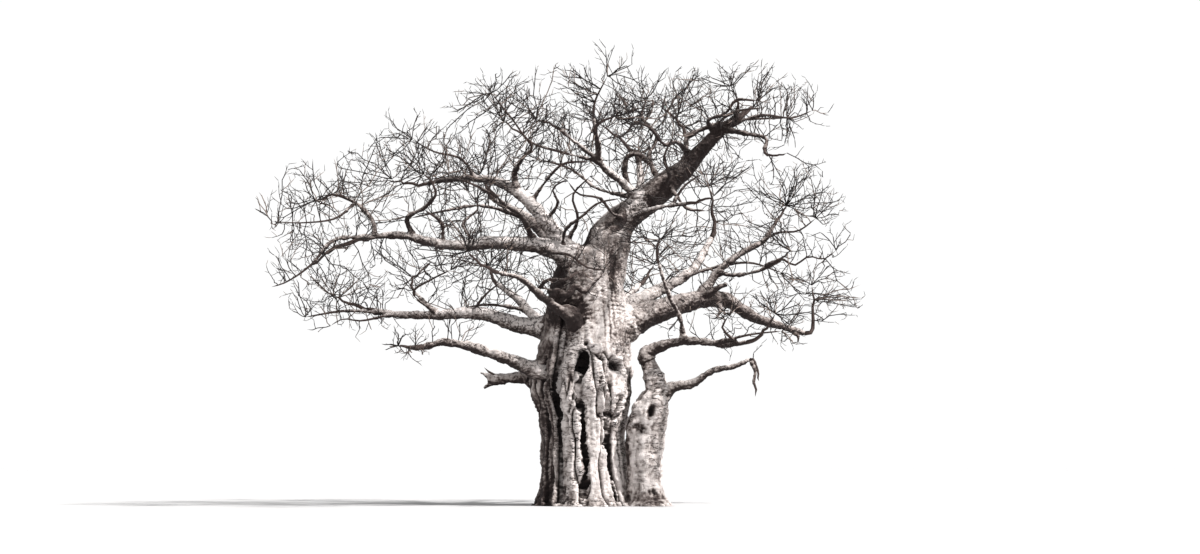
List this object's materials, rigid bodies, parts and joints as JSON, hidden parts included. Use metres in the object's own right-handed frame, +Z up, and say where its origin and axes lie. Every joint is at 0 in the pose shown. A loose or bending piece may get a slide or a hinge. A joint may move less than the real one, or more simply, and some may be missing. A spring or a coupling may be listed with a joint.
{
  "type": "baobab tree",
  "caption": "Bare leafless baobab with a thick fluted trunk, a fused side stem, spreading crooked boughs and masses of fine bare twigs.",
  "frame": {"origin": "on the ground at the middle of the trunk's flat cut", "axes": "+Z up; -Y towards the viewer of the tree's front; +X to that viewer's right, along the crown's longest spread"},
  "size_m": [24.2794, 17.4236, 17.8963],
  "materials": {
    "trunk_bark": "rough, folded, pale warm grey bark",
    "bough_bark": "rough, wrinkled, pale to mid grey bark",
    "twigs": "dull dark grey-brown bark of thin twigs"
  },
  "bodies": {
    "root": {"trunk": "trunk_bark", "side_stem": "trunk_bark", "bough_leader": "bough_bark", "bough_upper_left": "bough_bark", "bough_left": "bough_bark", "bough_mid_left": "bough_bark", "bough_lower_left": "bough_bark", "stub_left": "bough_bark", "bough_front_left": "bough_bark", "bough_right": "bough_bark", "bough_back_left": "bough_bark", "bough_back": "bough_bark", "bough_back_right": "bough_bark", "bough_back_low": "bough_bark", "bough_back_low_left": "bough_bark", "bough_elbow_rise": "bough_bark", "bough_elbow_reach": "bough_bark", "bough_slender": "bough_bark", "bough_low_right": "bough_bark", "bough_upper_left_riser": "bough_bark", "bough_left_inner_riser": "bough_bark", "bough_left_mid_riser": "bough_bark", "bough_left_end_riser": "bough_bark", "bough_mid_left_riser": "bough_bark", "bough_right_rise": "bough_bark", "bough_right_low_rise": "bough_bark", "bough_upper_centre": "bough_bark", "bough_upper_centre_left": "bough_bark", "bough_arch": "bough_bark", "bough_leader_riser": "bough_bark", "bough_hooked": "bough_bark", "bough_right_pale": "bough_bark", "twigs_leader": "twigs", "twigs_leader_riser": "twigs", "twigs_hooked": "twigs", "twigs_upper_centre": "twigs", "twigs_upper_centre_left": "twigs", "twigs_upper_left_riser": "twigs", "twigs_upper_left": "twigs", "twigs_left": "twigs", "twigs_left_end_riser": "twigs", "twigs_left_mid_riser": "twigs", "twigs_left_inner_riser": "twigs", "twigs_front_left": "twigs", "twigs_mid_left": "twigs", "twigs_mid_left_riser": "twigs", "twigs_lower_left": "twigs", "twigs_right": "twigs", "twigs_right_rise": "twigs", "twigs_right_low_rise": "twigs", "twigs_right_pale": "twigs", "twigs_slender": "twigs", "twigs_elbow_reach": "twigs", "twigs_low_right": "twigs", "twigs_back_left": "twigs", "twigs_back": "twigs", "twigs_back_right": "twigs", "twigs_back_low": "twigs", "twigs_back_low_left": "twigs"}
  },
  "joints": []
}
